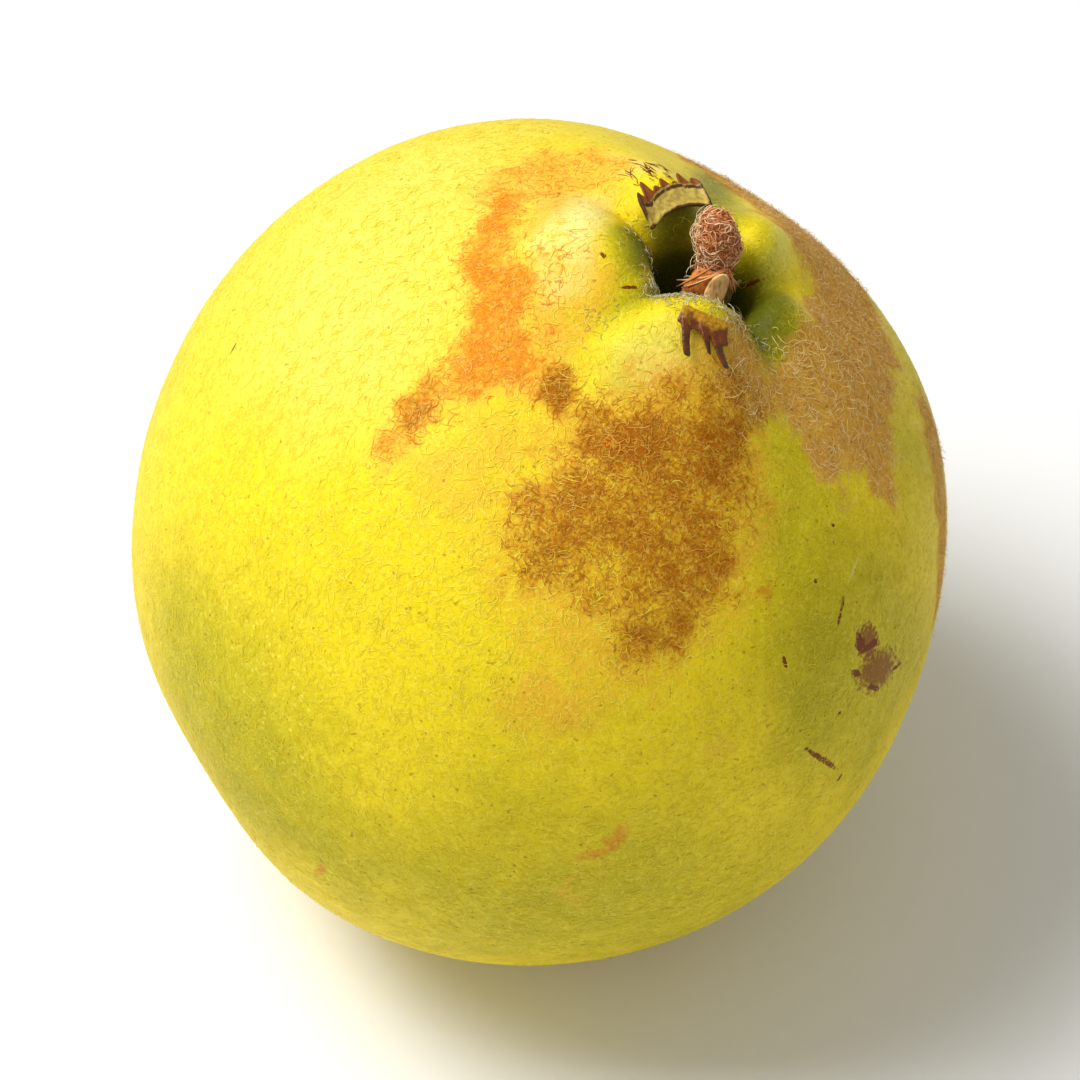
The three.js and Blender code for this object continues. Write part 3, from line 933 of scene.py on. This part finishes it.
def lay_down(name, skin, settings, coat, per_mm2, weights, seed, tones=None):
    """One coat of down over the weighted parts of the skin."""
    at, facing, own_tone, rng = scatter(skin, per_mm2, weights, seed, tones)
    clear = (at[:, 2] > LOWEST_DOWN) & clear_of_marks(skin, at)
    at, facing, own_tone = at[clear], facing[clear], own_tone[clear]
    count = len(at)
    ways = headings_on(facing, rng, -np.array(AXIS), coat["flow"])
    lengths = settings.length * coat["longer"] * rng.uniform(0.5, 1.5, count)
    turns = rng.choice([-1.0, 1.0], count) * rng.uniform(0.3, 3.6, count)
    lifts = lengths * rng.uniform(0.03, coat["lift"], count)
    paths = curled(at + facing * OFF_THE_SKIN, ways, facing, lengths, turns, lifts, 4)
    paths = kept_in_box(paths, 0.05 * MM)
    widths = settings.width * rng.uniform(0.6, 1.2, count)
    chance = rng.random(count) ** coat["rarity"]
    tones = np.clip(own_tone * (1 - coat["spread"]) + chance * coat["spread"], 0, 1)
    material = thread_material(name, coat["root"], coat["palette"])
    hand_in(ribbons(name, paths, facing, widths, tones, material), "skin")


class QUINCE_OT_down(bpy.types.Operator):
    """Lay curly down over the skin, thin where it is bare and thick where it is felted"""

    bl_idname = "quince.down"
    bl_label = "Down"

    def execute(self, context):
        settings = context.scene.quince_down
        skin = bpy.data.objects["quince_skin"]
        points = of_vertices(skin, "co")
        felt = {name: read_attribute(skin, name) for name in FELT_COATS}
        covered_by_felt = np.maximum(np.maximum(felt["amber"], felt["rust"]), felt["tan"])
        bare = np.clip(1 - 1.3 * covered_by_felt, 0, 1) * (1 - read_attribute(skin, "hollow_shade"))
        bare *= np.clip(from_axis(in_fruit(points)) / (30 * MM), 0.3, 1)
        ripe = 1 - read_attribute(skin, "green")
        back = points[:, 1] > 0
        lay_down("down_front", skin, settings, BARE_COAT, settings.thin, bare * ~back, 0, ripe)
        lay_down("down_back", skin, settings, BARE_COAT, settings.thin, bare * back, 1, ripe)
        for seed, (name, coat) in enumerate(FELT_COATS.items(), 2):
            weights = np.clip(felt[name] * coat["gain"] - coat["cut"], 0, 1)
            lay_down(f"down_{name}", skin, settings, coat, settings.thick * coat["share"], weights, seed)
        return {"FINISHED"}


# ---- Dried flower ----
# Lengths and thicknesses of threads are in millimetres, and turns in radians.

STRAND = {
    "length": (0.9, 2.4), "turn": (1.5, 5.0), "lift": (0.08, 0.3), "hug": 0.6, "width": (0.1, 0.19),
    "steps": 6, "root": (180, 100, 54),
    "palette": ((196, 112, 60), (232, 156, 96), (250, 192, 132), (255, 230, 184)),
}
HAIR = {
    "length": (1.4, 3.0), "turn": (0.8, 3.6), "lift": (0.3, 0.7), "hug": 0.2, "width": (0.06, 0.11),
    "steps": 6, "root": (226, 176, 120), "palette": ((238, 200, 144), (250, 226, 180), (255, 244, 216)),
}
WOOL_HAIR = {
    "length": (0.5, 1.7), "turn": (0.5, 4.0), "lift": (0.2, 0.7), "hug": 0.0, "width": (0.05, 0.09),
    "steps": 5, "root": (140, 136, 60), "palette": ((170, 158, 100), (214, 204, 156), (244, 238, 210)),
}
STYLE = {
    "width": (0.2, 0.36),
    "root": (190, 112, 62), "palette": ((206, 132, 74), (236, 168, 104), (250, 200, 140)),
}
FIBRE = {
    "length": (0.7, 2.4), "width": (0.08, 0.17),
    "root": (120, 66, 18), "palette": ((92, 42, 8), (132, 72, 18), (178, 122, 40)),
}
# Each withered style: the bearing it points to, how far it drops and how far it spreads.
STYLES = np.array([
    (206, 4.6, 1.0), (214, 5.0, 1.2), (221, 4.6, 1.1), (229, 4.2, 0.8),
    (303, 3.2, 0.6), (311, 3.4, 0.6), (320, 3.6, 0.5), (330, 3.2, 0.5),
])
TUFT_AREA = 160  # square millimetres that the strands are shared out over
WOOL_AREA = 100  # square millimetres that the wool is shared out over
SEPAL_LUMPS = (0.8, 0.12)
TEAR_HEIGHT = 2.6 * MM  # how far above its foot the back sepal tore


class QuinceFlowerSettings(bpy.types.PropertyGroup):
    stamen: tone("Stamens", "Dried stamens", 236, 156, 98)
    stamen_shade: tone("Stamen shade", "Deep between the dried stamens", 176, 96, 50)
    scale_left: tone("Left scale", "Orange-brown papery scale", 240, 148, 70)
    scale_middle: tone("Middle scale", "Pale papery scale", 255, 204, 136)
    # Partly painted shade: the right scale's own olive-brown, darkened for the shade it lies in.
    scale_right: tone("Right scale", "Olive-brown scale in the shade", 150, 122, 62)
    arch: tone("Sepal arch", "Amber root of the front sepal, where it folds over", 206, 150, 16)
    prong: tone("Prongs", "Brown withered prongs of the front sepal", 118, 54, 8)
    plate: tone("Plate", "Olive foot of the back sepal", 212, 186, 84)
    rim: tone("Rim", "Dark dry edge of the sepals", 84, 50, 8)
    torn: tone("Torn edge", "Brown torn edge of the back sepal", 132, 70, 20)
    wood: tone("Stem", "Dry bark of the stem stub", 92, 66, 44)
    strands: IntProperty(
        name="Strands", description="Curly dried stamens round the tuft", default=900, min=10, max=3000,
    )
    wool: IntProperty(
        name="Wool", description="Pale hairs in the calyx basin", default=1500, min=0, max=6000,
    )


def make_tuft(settings):
    tuft = fine_copy("dried_stamens", "stamen_tuft", 1, (0.6, 0.5))
    finish = Finish("dried_stamens", 0.8, 0.2)
    finish.colour = settings.stamen_shade
    finish.over(finish.between(finish.noise(0.5 * MM, 2.0, 0.8), 0.4, 0.62), settings.stamen)
    finish.bump(finish.threads(0.4 * MM, 0.08, 0.2), 0.12 * MM)
    finish.done(tuft)
    hand_in(tuft, "dried_flower", "dried_stamens")

    height = in_fruit(of_vertices(tuft, "co"))[:, 2]
    head = np.clip((height - 39 * MM) / (5 * MM), 0.08, 1)
    curly_threads("stamen_strands", "dried_flower", tuft, settings.strands / TUFT_AREA, head, 11, STRAND)
    to_the_left = np.clip(0.35 - of_vertices(tuft, "normal")[:, 0], 0, 1)
    left = to_the_left * np.clip((height - 42 * MM) / (3 * MM), 0, 1)
    curly_threads("stamen_hairs", "dried_flower", tuft, 1.6, left, 12, HAIR)


def make_styles():
    """Withered styles that spread from under the head of the tuft over the tops of the scales."""
    rng = np.random.default_rng(13)
    count = len(STYLES)
    ends = np.radians(STYLES[:, 0])
    run = np.linspace(0, 1, 7)[None, :]
    starts = np.radians(268) + rng.normal(size=count) * 0.1
    bearing = starts[:, None] + (ends - starts)[:, None] * run
    neck = np.array([2.6, 2.3, 0]) * MM
    neck_height, neck_radius = 47.8, 3.0
    height = (neck_height - STYLES[:, 1, None] * run**1.2) * MM
    radius = (neck_radius + STYLES[:, 2, None] * run) * MM
    paths = neck + np.stack([radius * np.cos(bearing), radius * np.sin(bearing), height], 2)
    hand_in_tubes("flower_styles", "dried_flower", out_of_fruit(paths), rng, STYLE)


class QUINCE_OT_stamens(bpy.types.Operator):
    """Build the withered tuft of stamens from its core, curly strands, loose pale hairs and styles"""

    bl_idname = "quince.stamens"
    bl_label = "Dried stamens"

    def execute(self, context):
        make_tuft(context.scene.quince_flower)
        make_styles()
        return {"FINISHED"}


class QUINCE_OT_flower_scales(bpy.types.Operator):
    """Build the papery scales at the foot of the tuft"""

    bl_idname = "quince.flower_scales"
    bl_label = "Flower scales"

    def execute(self, context):
        for side in ("left", "middle", "right"):
            scale = fine_copy(f"flower_scale_{side}", f"papery_scale_{side}", 2, (1.2, 0.16))
            finish = Finish(f"papery_scale_{side}", 0.6, 0.3)
            veins = finish.noise(0.35 * MM, 2.0, 0.4, drawn_out=5.0)
            # The right scale's colour holds painted shade.
            light = getattr(context.scene.quince_flower, f"scale_{side}")
            finish.colour = tuple(0.6 * v for v in light)
            finish.over(finish.between(veins, 0.32, 0.6), light)
            finish.bump(veins, 0.1 * MM)
            finish.done(scale)
            hand_in(scale, "papery_scale", f"flower_scale_{side}")
        return {"FINISHED"}


def make_front_sepal(settings):
    """The front sepal, amber where it folds over and withered brown in its prongs."""
    sepal = fine_copy("front_sepal", "dry_sepal_front", 1, SEPAL_LUMPS)
    tilt = tilt_of(in_fruit(of_vertices(sepal, "co")))
    write_attribute(sepal, "withered", np.clip((tilt - 12) / 4, 0, 1))
    finish = Finish("dry_sepal_front", 0.38, 0.4)
    withered = finish.vary(finish.attribute("withered"), finish.noise(1.1 * MM), 0.9)
    streaks = finish.noise(0.3 * MM, 2.0, 0.3, 0.4, 3.0)
    finish.colour = settings.arch
    finish.over(finish.between(withered, 0.15, 0.5), settings.prong)
    finish.over(finish.between(withered, 0.8, 1.1), settings.rim)
    finish.over(finish.between(streaks, 0.4, 0.6), settings.rim, 0.4)
    finish.bump(finish.noise(0.4 * MM), 0.12 * MM)
    finish.done(sepal)
    hand_in(sepal, "dried_sepal", "front_sepal")


def make_back_sepal(settings):
    """The foot of the back sepal, dark along its dry edges and brown where it tore."""
    sepal = fine_copy("back_sepal", "dry_sepal_back", 1, SEPAL_LUMPS)
    local = in_fruit(of_vertices(sepal, "co"))
    bearing = math.radians(BACK_SEPAL)
    across = local[:, 0] * -math.sin(bearing) + local[:, 1] * math.cos(bearing)
    out = local[:, 0] * math.cos(bearing) + local[:, 1] * math.sin(bearing)
    beside = np.abs(across[:, None] - across[None, :]) < 0.6 * MM
    from_foot = out - np.where(beside, out[None, :], np.inf).min(1)
    from_side = np.minimum(across - across.min(), across.max() - across)
    past_tear = from_foot - TEAR_HEIGHT
    rim = np.maximum(fade(from_foot, 0.7 * MM, 0.7 * MM), fade(from_side, 0.6 * MM, 0.6 * MM))
    rim = np.maximum(rim, fade(np.abs(past_tear), 0.35 * MM, 0.35 * MM))
    write_attribute(sepal, "rim", rim)
    write_attribute(sepal, "torn", np.clip(past_tear / (0.8 * MM), 0, 1))
    finish = Finish("dry_sepal_back", 0.5, 0.3)
    grain = finish.noise(0.5 * MM)
    finish.colour = settings.plate
    finish.over(finish.between(grain, 0.35, 0.65, 0.35, 0.0), settings.rim)
    for name, colour in (("torn", settings.torn), ("rim", settings.rim)):
        finish.over(finish.between(finish.vary(finish.attribute(name), grain, 0.6), 0.2, 0.6), colour)
    finish.bump(grain, 0.1 * MM)
    finish.done(sepal)
    hand_in(sepal, "dried_sepal", "back_sepal")


def make_sepal_fibres(skin):
    """Torn brown fibres that the back sepal left on the skin above it, in four bunches."""
    rng = np.random.default_rng(31)
    bunches = [-14, -11, -3, 5]
    places = [
        surface_at(skin, rng.uniform(13.6, 17), BACK_SEPAL + rng.choice(bunches) + rng.normal() * 1.6)
        for _ in range(34)
    ]
    count = len(places)
    at = np.array([place for place, _ in places])
    facing = np.array([normal for _, normal in places])
    down = np.array([direction(30, BACK_SEPAL) - direction(10, BACK_SEPAL)] * count)
    lengths = rng.uniform(*FIBRE["length"], count) * MM
    ways = headings_on(facing, rng, down, 0.9)
    paths = curled(at, ways, facing, lengths, rng.normal(size=count) * 0.5, lengths * 0.02, 5)
    hand_in_tubes("sepal_fibres", "dried_sepal", paths, rng, FIBRE)


class QUINCE_OT_sepals(bpy.types.Operator):
    """Build the two withered sepals and the torn fibres above the back one"""

    bl_idname = "quince.sepals"
    bl_label = "Dried sepals"

    def execute(self, context):
        settings = context.scene.quince_flower
        make_front_sepal(settings)
        make_back_sepal(settings)
        make_sepal_fibres(bpy.data.objects["quince_skin"])
        return {"FINISHED"}


class QUINCE_OT_calyx_wool(bpy.types.Operator):
    """Put pale wool in the calyx basin and the creases round it"""

    bl_idname = "quince.calyx_wool"
    bl_label = "Calyx wool"

    def execute(self, context):
        skin = bpy.data.objects["quince_skin"]
        per_mm2 = context.scene.quince_flower.wool / WOOL_AREA
        weights = read_attribute(skin, "wool")
        curly_threads("calyx_wool", "skin", skin, per_mm2, weights, 21, WOOL_HAIR)
        return {"FINISHED"}


class QUINCE_OT_stem_stub(bpy.types.Operator):
    """Build the woody stub that is left of the stem"""

    bl_idname = "quince.stem_stub"
    bl_label = "Stem stub"

    def execute(self, context):
        wood = context.scene.quince_flower.wood
        stub = fine_copy("stem_stub", "stem_wood_stub", 2, (0.8, 0.3))
        finish = Finish("stem_bark", 0.8, 0.25)
        bark = finish.noise(0.5 * MM, 3.0, 0.6)
        finish.colour = tuple(0.4 * v for v in wood)
        finish.over(finish.between(bark, 0.35, 0.65), wood)
        finish.bump(bark, 0.2 * MM)
        finish.done(stub)
        hand_in(stub, "stem_wood", "stem_stub")
        return {"FINISHED"}


# ---- Studio ----


class QuinceStudioSettings(bpy.types.PropertyGroup):
    floor: tone("Floor", "Pale studio floor", 246, 246, 246)
    key_power: FloatProperty(
        name="Key light", description="Power of the key light", default=9.0, min=0, unit="POWER",
    )
    fill_power: FloatProperty(
        name="Fill light", description="Power of the fill light", default=0.45, min=0, unit="POWER",
    )
    surround: FloatProperty(
        name="Surround", description="Brightness of the white surround", default=0.38, min=0, max=3,
    )
    distance: FloatProperty(
        name="Camera distance", description="From the camera to the middle of the fruit",
        default=0.62, min=0.2, max=5, unit="LENGTH",
    )
    elevation: FloatProperty(
        name="Camera height", description="How steeply the camera looks down",
        default=math.radians(48), min=0, max=math.radians(90), subtype="ANGLE",
    )
    lens: FloatProperty(
        name="Lens", description="Focal length in millimetres", default=185.0, min=10, max=400,
    )


def area_light(name, power, size, way, distance):
    """A square soft light that looks at the fruit from that way."""
    bpy.ops.object.light_add(type="AREA", location=CENTRE + way.normalized() * distance)
    lamp = bpy.context.object
    lamp.name = name
    lamp.data.energy = power
    lamp.data.size = size
    lamp.rotation_euler = way.to_track_quat("Z", "Y").to_euler()
    lamp.visible_camera = False


class QUINCE_OT_studio(bpy.types.Operator):
    """Set up the pale floor, the soft lights and the camera"""

    bl_idname = "quince.studio"
    bl_label = "Studio"

    def execute(self, context):
        settings = context.scene.quince_studio
        deselect_all()
        bpy.ops.mesh.primitive_circle_add(vertices=64, radius=3, fill_type="NGON", location=(0, 0, 0))
        floor = context.object
        floor.name = "studio_floor"
        finish = Finish("studio_floor", 0.9, 0.1)
        finish.colour = settings.floor
        finish.done(floor)

        world = bpy.data.worlds.new("studio_surround")
        world.use_nodes = True
        background = world.node_tree.nodes["Background"]
        background.inputs["Color"].default_value = (1, 1, 1, 1)
        background.inputs["Strength"].default_value = settings.surround
        context.scene.world = world
        deselect_all()
        area_light("key_light", settings.key_power, 0.5, Vector((-0.52, 0.06, 0.85)), 0.9)
        area_light("fill_light", settings.fill_power, 0.8, Vector((-0.3, -0.9, 0.5)), 1.2)

        away = Vector((0, -math.cos(settings.elevation), math.sin(settings.elevation)))
        bpy.ops.object.camera_add(location=CENTRE + away * settings.distance)
        camera = context.object
        camera.name = "camera"
        camera.rotation_euler = away.to_track_quat("Z", "Y").to_euler()
        camera.data.lens = settings.lens
        camera.data.clip_start = 0.01
        camera.data.clip_end = 20
        context.scene.camera = camera
        context.scene.view_settings.view_transform = "Standard"
        return {"FINISHED"}


SETTINGS = {
    "quince_skin": QuinceSkinSettings,
    "quince_down": QuinceDownSettings,
    "quince_flower": QuinceFlowerSettings,
    "quince_studio": QuinceStudioSettings,
}
OPERATORS = (
    QUINCE_OT_skin,
    QUINCE_OT_down,
    QUINCE_OT_stamens,
    QUINCE_OT_flower_scales,
    QUINCE_OT_sepals,
    QUINCE_OT_calyx_wool,
    QUINCE_OT_stem_stub,
    QUINCE_OT_studio,
)


class VIEW3D_PT_quince(bpy.types.Panel):
    """Lists the steps that build the quince, and the sizes and colours they use"""

    bl_label = "Quince"
    bl_space_type = "VIEW_3D"
    bl_region_type = "UI"
    bl_category = "Quince"

    def draw(self, context):
        for operator in OPERATORS:
            self.layout.operator(operator.bl_idname)
        for name, kind in SETTINGS.items():
            box = self.layout.box()
            for field in kind.__annotations__:
                box.prop(getattr(context.scene, name), field)


def register():
    for kind in (*SETTINGS.values(), *OPERATORS, VIEW3D_PT_quince):
        bpy.utils.register_class(kind)
    for name, kind in SETTINGS.items():
        setattr(bpy.types.Scene, name, PointerProperty(type=kind))


def unregister():
    for name in SETTINGS:
        delattr(bpy.types.Scene, name)
    for kind in reversed((*SETTINGS.values(), *OPERATORS, VIEW3D_PT_quince)):
        bpy.utils.unregister_class(kind)


def main():
    register()
    for operator in OPERATORS:
        group, name = operator.bl_idname.split(".")
        getattr(getattr(bpy.ops, group), name)()


if __name__ == "__main__":
    main()
